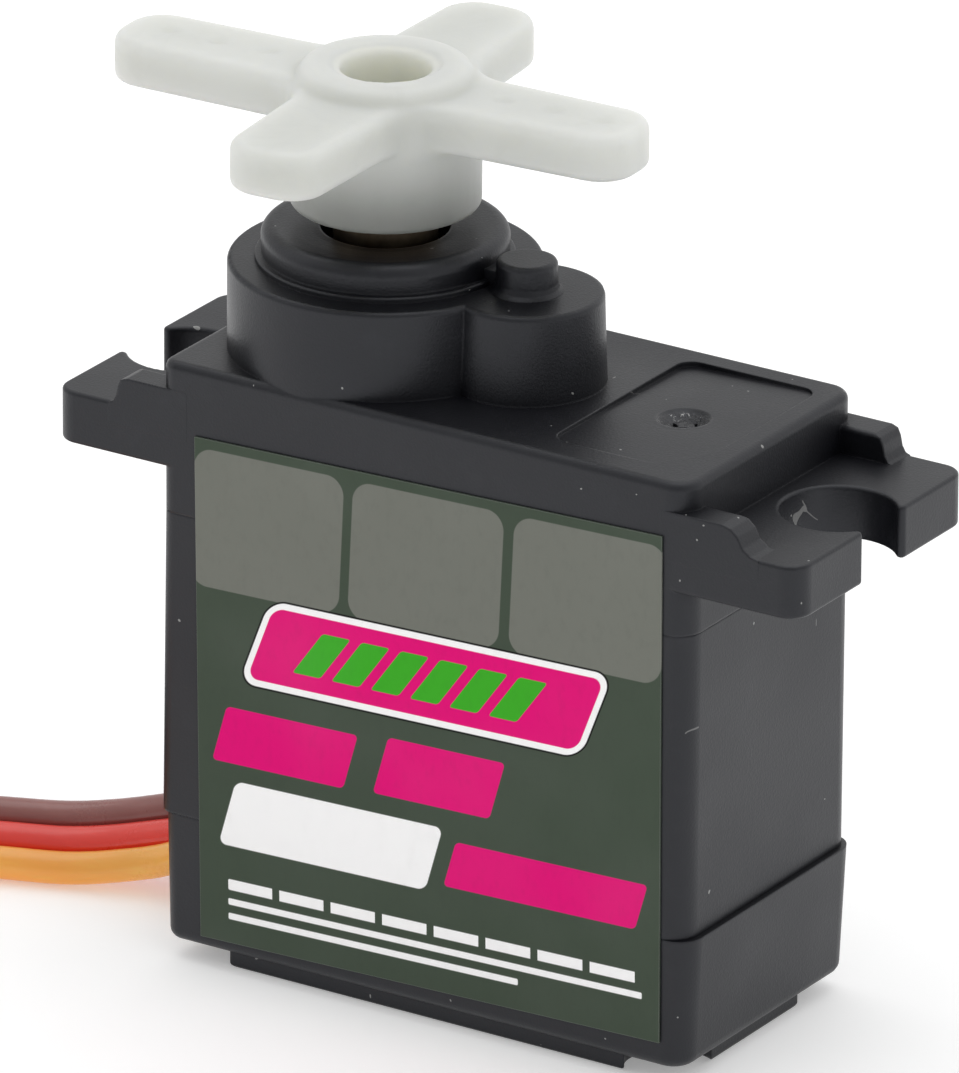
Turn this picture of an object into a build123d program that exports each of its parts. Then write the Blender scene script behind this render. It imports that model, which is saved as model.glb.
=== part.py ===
from build123d import *
import math
import os

os.makedirs("parts", exist_ok=True)

# Micro servo with gear train, motor, position sensor, horn and cable, in millimetres.
# Origin: middle of the two ear slots, on the upper face of the mounting ears.
# +X points to the motor end, +Z to the horn, -Y is the labelled front.

# ---------------------------------------------------------------------------
# shared dimensions
# ---------------------------------------------------------------------------
# case
HALF_LENGTH = 11.70
HALF_WIDTH = 6.00
MOTOR_CORNER_R = 1.00     # vertical corners at the motor end
OUTPUT_CORNER_R = 0.60    # vertical corners at the output end
TOP_Z = 2.20              # upper face of the case
UPPER_SEAM_Z = -3.90      # joint between top case and middle case
LOWER_SEAM_Z = -16.20     # joint between middle case and bottom cover
FOOT_Z = -21.50           # corner level of the bottom
PAD_Z = -22.20            # raised central pad of the bottom
WALL = 0.80
INNER_HALF_LENGTH = HALF_LENGTH - WALL
INNER_HALF_WIDTH = HALF_WIDTH - WALL
CEILING_Z = TOP_Z - WALL
PLATE_Z = -4.90           # underside of the gear plate

# vertical axes, all on the centre plane
OUT_X = -5.50
PIN_X = 0.80
MOTOR_X = 6.00

# case screws and the posts around them
SCREW_X = 10.25
SCREW_Y = 4.55
CORNER_SIGNS = [(side_x, side_y) for side_x in (-1, 1) for side_y in (-1, 1)]
SCREWS = [(side_x * SCREW_X, side_y * SCREW_Y) for side_x, side_y in CORNER_SIGNS]
POST_R = 1.35
POST_REACH = 2.00         # from the screw axis into the wall
SCREW_CLEARANCE_R = 0.66

# output spline, shared by the output gear and the horn
SPLINE_TEETH = 21
SPLINE_TIP_R = 1.95
SPLINE_ROOT_R = 1.78
SPLINE_TOP_Z = 10.20


# ---------------------------------------------------------------------------
# helpers
# ---------------------------------------------------------------------------
def rod(radius, z0, z1, x=0.0, y=0.0):
    return Pos(x, y, (z0 + z1) / 2) * Cylinder(radius, z1 - z0)


def tube(outer_r, inner_r, z0, z1, x=0.0):
    return rod(outer_r, z0, z1, x) - rod(inner_r, z0 - 0.5, z1 + 0.5, x)


def block(x0, x1, y0, y1, z0, z1):
    """Box between two limits on each axis, given in either order."""
    box = Box(abs(x1 - x0), abs(y1 - y0), abs(z1 - z0))
    return Pos((x0 + x1) / 2, (y0 + y1) / 2, (z0 + z1) / 2) * box


def prism(points, z0, z1):
    face = make_face(Polyline(*[(x, y, 0) for x, y in points], close=True))
    return extrude(Pos(0, 0, z0) * face, amount=z1 - z0)


def xz_face(points, y=0.0):
    return make_face(Polyline(*[(x, y, z) for x, z in points], close=True))


def lathe(profile, x=0.0):
    """Revolve a profile of (radius, z) points, then move it to x."""
    return Pos(x, 0, 0) * revolve(xz_face(profile), Axis.Z)


def polar(radius, angle):
    return radius * math.cos(angle), radius * math.sin(angle)


def sector(outer_r, inner_r, z0, z1, middle, half_angle, x=0.0):
    """Piece of a ring; angles in degrees, arcs drawn as short chords."""
    chords = 24
    start = math.radians(middle - half_angle)
    end = math.radians(middle + half_angle)
    steps = range(chords + 1)
    points = [polar(outer_r, start + (end - start) * i / chords) for i in steps]
    points += [polar(inner_r, end + (start - end) * i / chords) for i in steps]
    return Pos(x, 0, 0) * prism(points, z0, z1)


def outline(x0, x1, y0, y1):
    """Case outline: tighter corners at the output end than at the motor end."""
    sketch = Pos((x0 + x1) / 2, (y0 + y1) / 2) * Rectangle(x1 - x0, y1 - y0)
    sketch = fillet(sketch.vertices().filter_by(lambda v: v.X < 0), OUTPUT_CORNER_R)
    return fillet(sketch.vertices().filter_by(lambda v: v.X > x1 - 0.01), MOTOR_CORNER_R)


def tapered(bottom, top, z0, z1):
    """Rounded block between two rectangles (x0, x1, y0, y1)."""
    lower = Pos(0, 0, z0) * outline(*bottom)
    upper = Pos(0, 0, z1) * outline(*top)
    return loft([lower.face(), upper.face()])


def spline_star(z0, z1, grow=0.0):
    """Toothed prism on the output axis; grow adds clearance to both radii."""
    half_pitch = math.pi / SPLINE_TEETH
    tip, root = SPLINE_TIP_R + grow, SPLINE_ROOT_R + grow
    points = []
    for k in range(SPLINE_TEETH):
        centre = 2 * math.pi * k / SPLINE_TEETH
        for radius, offset in ((tip, -0.22), (tip, 0.22), (root, 0.80), (root, 1.20)):
            points.append(polar(radius, centre + offset * half_pitch))
    return Pos(OUT_X, 0, 0) * prism(points, z0, z1)


def at_level(z):
    """Edge selector: centre of the edge at height z."""
    return lambda edge: abs(edge.center().Z - z) < 0.01


def round_if_possible(solid, *steps):
    """Fillet by (selector, radius) steps in turn."""
    # The kernel may refuse a fillet; the solid then stays as it was before that step.
    try:
        for selector, radius in steps:
            solid = fillet(solid.edges().filter_by(selector), radius)
    except Exception as error:
        print("edges left sharp:", error)
    return solid


def cut_cross(solid, reach, half_slot, z0, z1):
    """Cut a cross recess centred on the Z axis."""
    solid -= block(-reach, reach, -half_slot, half_slot, z0, z1)
    solid -= block(-half_slot, half_slot, -reach, reach, z0, z1)
    return solid


def leave_posts(space, z0, z1):
    """Take the corner screw posts out of a cavity, so that they remain in the case."""
    for (side_x, side_y), (x, y) in zip(CORNER_SIGNS, SCREWS):
        space -= rod(POST_R, z0, z1, x, y)
        space -= block(x, x * 1.2, y - side_y * POST_R, y + side_y * POST_REACH, z0, z1)
        space -= block(x - side_x * POST_R, x + side_x * POST_REACH, y, y * 1.4, z0, z1)
    return space


def group(items):
    solids = []
    for item in items:
        solids.extend(item.solids())
    return Compound(solids)


def save(shape, name):
    export_step(shape, "parts/%s.step" % name)


# ---------------------------------------------------------------------------
# top case: cap over the gear train, with ears, tower, small boss and collar
# ---------------------------------------------------------------------------
EAR_HALF_SPAN = 16.53     # half length over both ears
EAR_THICKNESS = 2.10
EAR_EDGE_R = 0.14
SLOT_X = 14.55
SLOT_R = 2.20
RIB_TOP_Z = 1.08
RIB_WIDTH = 1.30
RIB_END_X = 13.42
# (x side, y side, how far the foot runs out past the top)
RIBS = [(-1, -1, 0.50), (-1, 1, 0.50), (1, 1, 0.50), (1, -1, 1.25)]

TOWER_R = 5.96
TOWER_Z = 5.75
BOSS_R = 2.97
CAVE_Z = 5.00             # ceiling inside tower and boss
COLLAR_TOP_Z = 7.15
PIN_CAP_R = 1.18
PIN_CAP_TOP_Z = 7.00
PIN_BORE_R = 0.52
BEARING_SEAT_R = 4.00
DIMPLE_R = 1.52

BOSS_PROFILE = [          # (radius, z)
    (0, 0.5), (BOSS_R + 0.10, 0.5), (BOSS_R + 0.08, TOP_Z), (BOSS_R - 0.03, TOWER_Z - 0.18),
    (BOSS_R - 0.08, TOWER_Z - 0.05), (BOSS_R - 0.20, TOWER_Z), (0, TOWER_Z)]
COLLAR_PROFILE = [        # (radius, z)
    (0, TOWER_Z - 0.4), (4.92, TOWER_Z - 0.4), (4.92, TOWER_Z + 0.16),
    (4.86, TOWER_Z + 0.21), (4.68, TOWER_Z + 0.24), (4.72, COLLAR_TOP_Z),
    (3.60, COLLAR_TOP_Z - 0.07), (2.80, COLLAR_TOP_Z - 0.15), (0, COLLAR_TOP_Z - 0.15)]
PIN_CAP_PROFILE = [       # (radius, z)
    (0, TOWER_Z - 0.3), (PIN_CAP_R + 0.22, TOWER_Z - 0.3), (PIN_CAP_R + 0.20, TOWER_Z + 0.02),
    (PIN_CAP_R + 0.05, TOWER_Z + 0.16), (PIN_CAP_R, TOWER_Z + 0.35),
    (PIN_CAP_R - 0.02, PIN_CAP_TOP_Z - 0.16), (PIN_CAP_R - 0.08, PIN_CAP_TOP_Z - 0.05),
    (PIN_CAP_R - 0.20, PIN_CAP_TOP_Z), (0, PIN_CAP_TOP_Z)]
GATE_STUB = [             # (x, y) outline of the torn gate
    (0.46, 0.02), (0.30, 0.20), (0.36, 0.34), (0.02, 0.22), (-0.20, 0.36), (-0.30, 0.06),
    (-0.44, -0.10), (-0.16, -0.22), (-0.06, -0.38), (0.22, -0.20), (0.34, -0.26)]


def mounting_ears():
    sketch = RectangleRounded(2 * EAR_HALF_SPAN, 2 * HALF_WIDTH, 0.90)
    sketch -= Pos(SLOT_X, 0) * Circle(SLOT_R)
    sketch -= Pos(-SLOT_X, 0) * Circle(SLOT_R)
    # the slot circles break through the ends; round the points this leaves
    tips = sketch.vertices().filter_by(
        lambda v: abs(abs(v.X) - EAR_HALF_SPAN) < 0.01 and abs(v.Y) < 2.0)
    sketch = fillet(tips, 0.20)
    ears = extrude(Pos(0, 0, -EAR_THICKNESS) * sketch, amount=EAR_THICKNESS)
    return round_if_possible(
        ears, (at_level(0), EAR_EDGE_R), (at_level(-EAR_THICKNESS), EAR_EDGE_R))


def ear_rib(side_x, side_y, nose):
    """Gusset on the ear edge; nose is how far its foot runs out past the top."""
    end = RIB_END_X
    root = HALF_LENGTH - 1.2
    profile = [           # (x, z)
        (root, -0.9), (end + nose + 0.10, -0.9), (end + nose + 0.10, -0.02),
        (end + nose * 0.80, 0.06), (end + nose * 0.52, 0.30),
        (end + nose * 0.34, RIB_TOP_Z - 0.36), (end + nose * 0.10, RIB_TOP_Z - 0.10),
        (end - 0.22, RIB_TOP_Z), (root, RIB_TOP_Z)]
    face = xz_face([(side_x * x, z) for x, z in profile])
    solid = extrude(face, amount=RIB_WIDTH / 2, both=True)
    solid = Pos(0, side_y * (HALF_WIDTH - RIB_WIDTH / 2 + 0.004), 0) * solid

    def inner_top_edge(edge):
        centre = edge.center()
        return (centre.Z > RIB_TOP_Z - 0.01 and abs(centre.Y) < HALF_WIDTH - 0.1
                and abs(centre.X) < end - 0.3)

    return round_if_possible(solid, (inner_top_edge, 0.16))


def gear_cave():
    """Space for the gears, open at the upper seam."""
    bottom = UPPER_SEAM_Z - 1.0
    cave = block(-INNER_HALF_LENGTH, INNER_HALF_LENGTH, -INNER_HALF_WIDTH, INNER_HALF_WIDTH,
                 bottom, CEILING_Z)
    cave += rod(5.22, CEILING_Z - 1.0, CAVE_Z, OUT_X)
    cave += rod(2.36, CEILING_Z - 1.0, CAVE_Z, PIN_X)
    cave = leave_posts(cave, bottom, CEILING_Z + 0.01)
    cave -= tube(4.75, BEARING_SEAT_R, 4.02, CAVE_Z + 0.01, OUT_X)      # bearing seat wall
    cave -= sector(5.40, 3.42, 2.86, 4.10, 180, 8, OUT_X)               # travel stop
    cave -= tube(1.30, PIN_BORE_R, 3.10, CAVE_Z + 0.01, PIN_X)          # pin sleeve
    return cave


def top_case():
    case = extrude(Pos(0, 0, UPPER_SEAM_Z)
                   * outline(-HALF_LENGTH, HALF_LENGTH, -HALF_WIDTH, HALF_WIDTH),
                   amount=TOP_Z - UPPER_SEAM_Z)
    case = fillet(case.edges().filter_by(at_level(TOP_Z)), 0.32)
    case += mounting_ears()
    for row in RIBS:
        case += ear_rib(*row)

    tower = rod(TOWER_R, UPPER_SEAM_Z + 3.0, TOWER_Z, OUT_X)
    tower = fillet(tower.edges().filter_by(at_level(TOWER_Z)), 0.18)
    collar = round_if_possible(lathe(COLLAR_PROFILE, OUT_X), (at_level(COLLAR_TOP_Z), 0.50))
    web = block(OUT_X + 4.2, PIN_X - 0.4, -0.42, 0.42, TOWER_Z - 0.2, TOWER_Z + 0.62)
    case = case + tower + lathe(BOSS_PROFILE, PIN_X) + collar
    case = case + lathe(PIN_CAP_PROFILE, PIN_X) + web

    case -= gear_cave()
    case -= rod(BEARING_SEAT_R, 4.00, 5.95, OUT_X)
    case -= rod(2.72, 5.00, 6.25, OUT_X)                    # room over the inner race
    case -= rod(2.46, 6.00, COLLAR_TOP_Z + 1, OUT_X)        # shaft opening
    case -= rod(PIN_BORE_R, 3.00, 6.30, PIN_X)
    for x, y in SCREWS:
        case -= rod(0.62, UPPER_SEAM_Z - 0.5, -1.20, x, y)

    # shallow tilted panel and gate dimple in the upper face
    panel = extrude(Pos(0, 0, -1.0) * RectangleRounded(5.9, 9.5, 0.7), amount=1.0)
    case -= Pos(7.72, 0.15, TOP_Z + 0.90) * Rot(-0.8, -1.2, 0) * panel
    case -= Pos(7.75, 0.05, TOP_Z + 1.02) * Sphere(DIMPLE_R)
    case += Pos(7.80, -0.02, 0) * prism(GATE_STUB, TOP_Z - 0.62, TOP_Z - 0.33)
    return case


# ---------------------------------------------------------------------------
# middle case: motor and sensor housing with the gear plate
# ---------------------------------------------------------------------------
PLATE_HOLES = [(1.55, MOTOR_X), (0.50, PIN_X), (1.60, OUT_X)]   # (radius, x)


def middle_case():
    case = tapered((-HALF_LENGTH - 0.16, HALF_LENGTH - 0.04, -HALF_WIDTH, HALF_WIDTH),
                   (-HALF_LENGTH, HALF_LENGTH, -HALF_WIDTH, HALF_WIDTH),
                   LOWER_SEAM_Z, UPPER_SEAM_Z)
    bottom = LOWER_SEAM_Z - 1.0
    hollow = block(-INNER_HALF_LENGTH, INNER_HALF_LENGTH, -INNER_HALF_WIDTH, INNER_HALF_WIDTH,
                   bottom, PLATE_Z)
    case -= leave_posts(hollow, bottom, PLATE_Z + 0.01)
    for radius, x in PLATE_HOLES:
        case -= rod(radius, PLATE_Z - 1, UPPER_SEAM_Z + 1, x)
    for x, y in SCREWS:
        case -= rod(SCREW_CLEARANCE_R, bottom, UPPER_SEAM_Z + 1, x, y)
    return case


# ---------------------------------------------------------------------------
# bottom cover: shallow cup with a raised pad and corner screw pockets
# ---------------------------------------------------------------------------
WIRE_R = 0.64
WIRE_PITCH = 1.30
WIRE_EXIT_Z = -19.60      # middle wire at the case wall
WIRE_SLOT_GAP = 0.07
BOARD_BOTTOM_Z = -18.90


def foot_pad():
    sketch = RectangleRounded(2 * (HALF_LENGTH - 0.55), 2 * (HALF_WIDTH - 0.45), 0.4)
    for (side_x, side_y), (x, y) in zip(CORNER_SIGNS, SCREWS):
        sketch -= Pos(x, y) * Circle(1.72)
        sketch -= Pos(x + side_x * 1.0, y + side_y * 0.2) * Rectangle(2.0, 3.0)
        sketch -= Pos(x + side_x * 0.2, y + side_y * 1.0) * Rectangle(3.0, 2.0)
    pad = extrude(Pos(0, 0, PAD_Z) * sketch, amount=FOOT_Z - PAD_Z + 0.3)
    return round_if_possible(pad, (at_level(PAD_Z), 0.22))


def cover_bowl():
    """Space inside the cover, deeper over the pad."""
    left = -INNER_HALF_LENGTH + 0.1
    bowl = block(left, INNER_HALF_LENGTH - 0.1, -INNER_HALF_WIDTH, INNER_HALF_WIDTH,
                 FOOT_Z + 0.8, LOWER_SEAM_Z + 1)
    bowl += block(left, INNER_HALF_LENGTH - 0.4, -2.4, 2.4, PAD_Z + 0.72, FOOT_Z + 1.0)
    bowl = leave_posts(bowl, FOOT_Z, LOWER_SEAM_Z + 1.01)
    for side in (-1, 1):                                    # board rests
        bowl -= block(-2.0, 2.0, side * 4.55, side * 6.0, FOOT_Z, BOARD_BOTTOM_Z - 0.02)
    return bowl


def bottom_cover():
    cover = tapered(
        (-HALF_LENGTH + 0.14, HALF_LENGTH - 0.06, -HALF_WIDTH + 0.03, HALF_WIDTH - 0.03),
        (-HALF_LENGTH + 0.05, HALF_LENGTH + 0.20, -HALF_WIDTH, HALF_WIDTH),
        FOOT_Z, LOWER_SEAM_Z)
    cover = fillet(cover.edges().filter_by(at_level(FOOT_Z)), 0.48)
    cover += foot_pad()
    cover -= cover_bowl()
    half_height = WIRE_R + WIRE_SLOT_GAP                    # cable slot in the end wall
    half_width = WIRE_PITCH + half_height
    cover -= block(-HALF_LENGTH - 1, -INNER_HALF_LENGTH + 0.5, -half_width, half_width,
                   WIRE_EXIT_Z - half_height, WIRE_EXIT_Z + half_height)
    for x, y in SCREWS:
        cover -= rod(SCREW_CLEARANCE_R, FOOT_Z - 1, LOWER_SEAM_Z + 1, x, y)
        cover -= rod(1.16, FOOT_Z - 1, -20.60, x, y)        # head pocket
    return cover


SCREW_HEAD_PROFILE = [    # (radius, z)
    (0, -20.62), (1.06, -20.62), (1.06, -21.10), (0.90, -21.28), (0.60, -21.36), (0, -21.36)]


def case_screws():
    """Four long screws from below, cross recess in each head."""
    screws = []
    for x, y in SCREWS:
        screw = lathe(SCREW_HEAD_PROFILE)
        screw += rod(0.60, -20.70, -1.60)
        screw = cut_cross(screw, 0.62, 0.11, -21.6, -20.98)
        screws.append(Pos(x, y, 0) * screw)
    return group(screws)


# slightly askew label: corners as (x, z)
LABEL_CORNERS = [(-10.10, -0.55), (10.62, 0.06), (10.70, -20.40), (-9.84, -20.94)]


def front_label():
    return extrude(xz_face(LABEL_CORNERS, -HALF_WIDTH - 0.042), amount=0.04, both=True)


# ---------------------------------------------------------------------------
# gear train, meshes numbered from the motor pinion to the output gear
# ---------------------------------------------------------------------------
PRESSURE_ANGLE = 20.0
BACKLASH = 0.045          # thinning of each tooth, on the pitch circle
DEDENDUM = 1.25           # in modules
FLANK_STEPS = 4

PINION_TEETH = 9
FIRST_LARGE, FIRST_SMALL = 43, 12
SECOND_LARGE, SECOND_SMALL = 38, 12
THIRD_LARGE, THIRD_SMALL = 38, 10
OUTPUT_TEETH = 26
MODULE_1, MODULE_2, MODULE_3, MODULE_4 = 0.200, 0.252, 0.252, 0.350
# profile shift: plus on the small wheel of a mesh, minus on the large one
SHIFT_1, SHIFT_2, SHIFT_3, SHIFT_4 = 0.47, 0.40, 0.40, 0.45

PIN_R = 0.50
WHEEL_BORE_R = 0.53       # wheels that turn on the gear pin


def involute(angle):
    return math.tan(angle) - angle


def gear_outline(teeth, module, shift, phase):
    """Involute outline as points; one tooth is centred on angle phase."""
    pressure = math.radians(PRESSURE_ANGLE)
    pitch_r = module * teeth / 2
    base_r = pitch_r * math.cos(pressure)
    tip_r = pitch_r + module * (1 + shift)
    root_r = pitch_r - module * (DEDENDUM - shift)
    pitch_half = (math.pi / 2 + 2 * shift * math.tan(pressure)) / teeth - BACKLASH / 2 / pitch_r

    def half_angle(radius):
        if radius <= base_r:
            return pitch_half + involute(pressure)
        return pitch_half + involute(pressure) - involute(math.acos(base_r / radius))

    while half_angle(tip_r) < 0.16 * math.pi / teeth:       # keep a land on the tooth tip
        tip_r -= 0.004
    start = max(base_r, root_r)
    radii = [start + (tip_r - start) * i / FLANK_STEPS for i in range(FLANK_STEPS + 1)]
    if root_r < base_r:
        radii = [root_r] + radii
    points = []
    for k in range(teeth):
        centre = phase + 2 * math.pi * k / teeth
        points += [polar(radius, centre - half_angle(radius)) for radius in radii]
        points += [polar(radius, centre + half_angle(radius)) for radius in reversed(radii)]
    return points


def gear(teeth, module, z0, z1, x, shift, phase):
    return Pos(x, 0, 0) * prism(gear_outline(teeth, module, shift, phase), z0, z1)


def first_gear():
    wheel = gear(FIRST_LARGE, MODULE_1, -3.60, -2.80, PIN_X, -SHIFT_1, 0.0)
    wheel += gear(FIRST_SMALL, MODULE_2, -2.85, -1.45, PIN_X, SHIFT_2, math.pi)
    wheel += rod(1.10, -3.84, -3.50, PIN_X)
    wheel -= rod(WHEEL_BORE_R, -5, 0, PIN_X)
    for k in range(5):                                      # ring of round holes
        x, y = polar(3.0, math.radians(36 + 72 * k))
        wheel -= rod(0.62, -5, 0, PIN_X + x, y)
    return wheel


def second_gear():
    wheel = gear(SECOND_LARGE, MODULE_2, -2.50, -1.70, OUT_X, -SHIFT_2, math.pi / SECOND_LARGE)
    wheel += gear(SECOND_SMALL, MODULE_3, -1.75, -0.12, OUT_X, SHIFT_3, 0.0)
    wheel += rod(1.40, -3.84, -2.45, OUT_X)
    wheel -= rod(0.79, -5, 1, OUT_X)
    return wheel


def third_gear():
    wheel = gear(THIRD_LARGE, MODULE_3, -1.10, -0.30, PIN_X, -SHIFT_3,
                 math.pi + math.pi / THIRD_LARGE)
    wheel += gear(THIRD_SMALL, MODULE_4, -0.35, 2.90, PIN_X, SHIFT_4, math.pi)
    wheel += rod(1.00, -1.40, -1.00, PIN_X)
    wheel -= rod(WHEEL_BORE_R, -5, 4, PIN_X)
    return wheel


def output_gear():
    wheel = gear(OUTPUT_TEETH, MODULE_4, 0.30, 2.70, OUT_X, -SHIFT_4, math.pi / OUTPUT_TEETH)
    wheel += rod(1.30, -0.06, 0.40, OUT_X)
    wheel += rod(0.75, -6.20, 0.0, OUT_X)
    wheel += rod(2.50, 2.60, 3.96, OUT_X)
    wheel += rod(1.98, 3.90, 7.90, OUT_X)
    wheel += spline_star(7.88, SPLINE_TOP_Z)
    wheel += sector(3.95, 3.10, 2.65, 3.30, 0, 77, OUT_X)               # stop arc
    wheel -= block(OUT_X + 0.45, OUT_X + 1.0, -1, 1, -6.5, -4.95)       # flat for the sensor
    wheel -= rod(0.83, 8.00, 12.0, OUT_X)                               # screw bore
    return wheel


def chamfered_pin(z0, z1, x):
    pin = rod(PIN_R, z0, z1, x)
    return chamfer(pin.edges(), 0.08)


def gear_pin():
    return chamfered_pin(-4.88, 6.10, PIN_X)


def lower_bushing():
    return tube(1.59, 0.78, -4.88, UPPER_SEAM_Z, OUT_X)


# output ball bearing
BALL_COUNT = 9
BALL_R = 0.50
BALL_CIRCLE_R = 3.00
BALL_Z = 4.95


def cut_groove(ring):
    return ring - Pos(OUT_X, 0, BALL_Z) * Torus(BALL_CIRCLE_R, BALL_R + 0.03)


def bearing_outer_race():
    return cut_groove(tube(3.99, 3.42, 4.06, 5.93, OUT_X))


def bearing_inner_race():
    return cut_groove(tube(2.58, 2.00, 3.98, 5.90, OUT_X))


def ball_places():
    """Angle and location of each ball."""
    for k in range(BALL_COUNT):
        angle = 2 * math.pi * k / BALL_COUNT
        x, y = polar(BALL_CIRCLE_R, angle)
        yield angle, Pos(OUT_X + x, y, BALL_Z)


def bearing_balls():
    return group([place * Sphere(BALL_R) for _, place in ball_places()])


def bearing_cage():
    cage = tube(3.14, 2.86, BALL_Z - 0.62, BALL_Z + 0.62, OUT_X)
    for angle, place in ball_places():
        cage -= place * Rot(0, 0, math.degrees(angle)) * Rot(0, 90, 0) * Cylinder(0.54, 1.6)
    return cage


# ---------------------------------------------------------------------------
# horn and its screw
# ---------------------------------------------------------------------------
HORN_TURN = 2.98          # how far the horn is turned on its spline, degrees
HUB_R = 3.57
HUB_BOTTOM_Z = 8.00
ARM_BOTTOM_Z = 11.18
ARM_TOP_Z = 12.87
# (direction in degrees, reach, root width, tip width, tip corner radius)
HORN_ARMS = [
    (0, 10.84, 3.90, 3.46, 1.40), (180, 11.32, 3.90, 3.46, 1.40),
    (90, 8.88, 4.37, 3.66, 1.45), (270, 9.45, 4.37, 3.66, 1.45)]
CROTCH_R = 2.20           # rounding between neighbouring arms
DISC_R = 3.24
DISC_Z = 13.40
HUB_PROFILE = [           # (radius, z)
    (0, HUB_BOTTOM_Z), (HUB_R - 0.10, HUB_BOTTOM_Z), (HUB_R, HUB_BOTTOM_Z + 0.10),
    (HUB_R + 0.02, ARM_BOTTOM_Z - 0.9), (HUB_R + 0.07, ARM_BOTTOM_Z - 0.40),
    (HUB_R + 0.18, ARM_BOTTOM_Z - 0.08), (HUB_R + 0.22, ARM_BOTTOM_Z + 0.30),
    (HUB_R + 0.16, ARM_TOP_Z - 0.50), (HUB_R, ARM_TOP_Z - 0.12),
    (DISC_R + 0.12, ARM_TOP_Z + 0.05), (DISC_R + 0.02, ARM_TOP_Z + 0.20),
    (DISC_R - 0.10, DISC_Z - 0.14), (DISC_R - 0.30, DISC_Z - 0.03), (DISC_R - 0.55, DISC_Z),
    (2.08, DISC_Z - 0.03), (1.88, DISC_Z - 0.12), (0, DISC_Z - 0.12)]
ARM_DIMPLE_RADII = (5.1, 7.25, 9.4)     # places along the long arms
HORN_SCREW_SEAT_Z = SPLINE_TOP_Z + 0.62


def horn_arm(direction, reach, root_width, tip_width, tip_r):
    points = [(0, -root_width / 2, 0), (reach, -tip_width / 2, 0),
              (reach, tip_width / 2, 0), (0, root_width / 2, 0)]
    sketch = make_face(Polyline(*points, close=True))
    sketch = fillet(sketch.vertices().filter_by(lambda v: v.X > reach - 0.01), tip_r)
    return Rot(0, 0, direction) * sketch


def output_horn():
    right, left, back, front = [horn_arm(*row) for row in HORN_ARMS]
    arms = (right + left) + (back + front)
    crotch = arms.vertices().filter_by(lambda v: 1.5 < abs(v.X) < 2.6 and 1.5 < abs(v.Y) < 2.6)
    arms = fillet(crotch, CROTCH_R)
    horn = extrude(Pos(0, 0, ARM_BOTTOM_Z) * arms, amount=ARM_TOP_Z - ARM_BOTTOM_Z)
    horn = round_if_possible(horn, (at_level(ARM_TOP_Z), 0.38), (at_level(ARM_BOTTOM_Z), 0.26))
    horn += lathe(HUB_PROFILE)
    horn -= rod(1.74, SPLINE_TOP_Z + 0.60, 14.0)
    horn -= rod(0.90, SPLINE_TOP_Z - 0.20, SPLINE_TOP_Z + 1.0)
    for radius in ARM_DIMPLE_RADII:
        for side in (-1, 1):
            horn -= Pos(side * radius, 0, ARM_TOP_Z + 1.15) * Sphere(1.25)
    horn = Pos(OUT_X, 0, 0) * Rot(0, 0, HORN_TURN) * horn
    horn -= spline_star(HUB_BOTTOM_Z - 1, SPLINE_TOP_Z + 0.06, grow=0.04)
    return horn


def horn_screw():
    seat = HORN_SCREW_SEAT_Z
    screw = lathe([(0, seat), (1.66, seat), (1.66, seat + 0.38), (1.48, seat + 0.66),
                   (0.95, seat + 0.86), (0, seat + 0.90)])
    screw += rod(0.80, 8.60, seat + 0.1)
    screw = cut_cross(screw, 0.95, 0.16, seat + 0.40, seat + 1.5)
    return Pos(OUT_X, 0, 0) * Rot(0, 0, 20) * screw


# ---------------------------------------------------------------------------
# motor
# ---------------------------------------------------------------------------
CAN_R = 4.78
CAN_FRONT_Z = -5.00       # end of the can next to the gear plate
END_CAP_R = 4.46
CORE_BOTTOM_Z = -13.60
CORE_TOP_Z = -7.40
POLE_DIRECTIONS = (30, 150, 270)
SHAFT_HOLE_R = 0.51


def motor_can():
    can = rod(CAN_R, -16.60, CAN_FRONT_Z, MOTOR_X)
    can = fillet(can.edges().filter_by(at_level(CAN_FRONT_Z)), 0.5)
    can += rod(1.50, -5.2, -4.15, MOTOR_X)
    can -= rod(4.50, -17.0, -5.35, MOTOR_X)
    can -= rod(1.12, -6.0, -4.0, MOTOR_X)
    return can


def motor_front_bushing():
    return tube(1.11, 0.52, -5.34, -4.17, MOTOR_X)


def motor_magnets():
    return group([sector(4.46, 3.72, -14.60, -6.80, middle, 62, MOTOR_X)
                  for middle in (90, 270)])


def motor_end_cap():
    cap = rod(END_CAP_R, -16.58, -15.90, MOTOR_X) + rod(CAN_R, -17.10, -16.62, MOTOR_X)
    cap += rod(END_CAP_R, -16.70, -16.50, MOTOR_X)
    cap -= rod(0.92, -18, -15, MOTOR_X)
    for side in (-1, 1):                                    # terminal slots
        cap -= block(MOTOR_X - 0.5, MOTOR_X + 0.5, side * 2.68, side * 3.12, -18, -15)
    return cap


def motor_rear_bushing():
    return tube(0.91, 0.52, -17.05, -16.00, MOTOR_X)


def motor_brushes():
    return group([block(MOTOR_X - 0.35, MOTOR_X + 0.35, side * 1.02, side * 1.45, -15.75, -15.05)
                  for side in (-1, 1)])


def motor_terminals():
    terminals = []
    for side in (-1, 1):
        tab = block(MOTOR_X - 0.45, MOTOR_X + 0.45, side * 2.80, side * 3.0, -18.06, -15.30)
        tab += block(MOTOR_X - 0.35, MOTOR_X + 0.35, side * 1.47, side * 3.0, -15.45, -15.30)
        terminals.append(tab)
    return group(terminals)


def motor_shaft():
    return chamfered_pin(-17.00, -2.55, MOTOR_X)


def motor_pinion():
    pinion = gear(PINION_TEETH, MODULE_1, -3.75, -2.65, MOTOR_X, SHIFT_1,
                  math.pi + math.pi / PINION_TEETH)
    return pinion - rod(SHAFT_HOLE_R, -5, 0, MOTOR_X)


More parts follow.
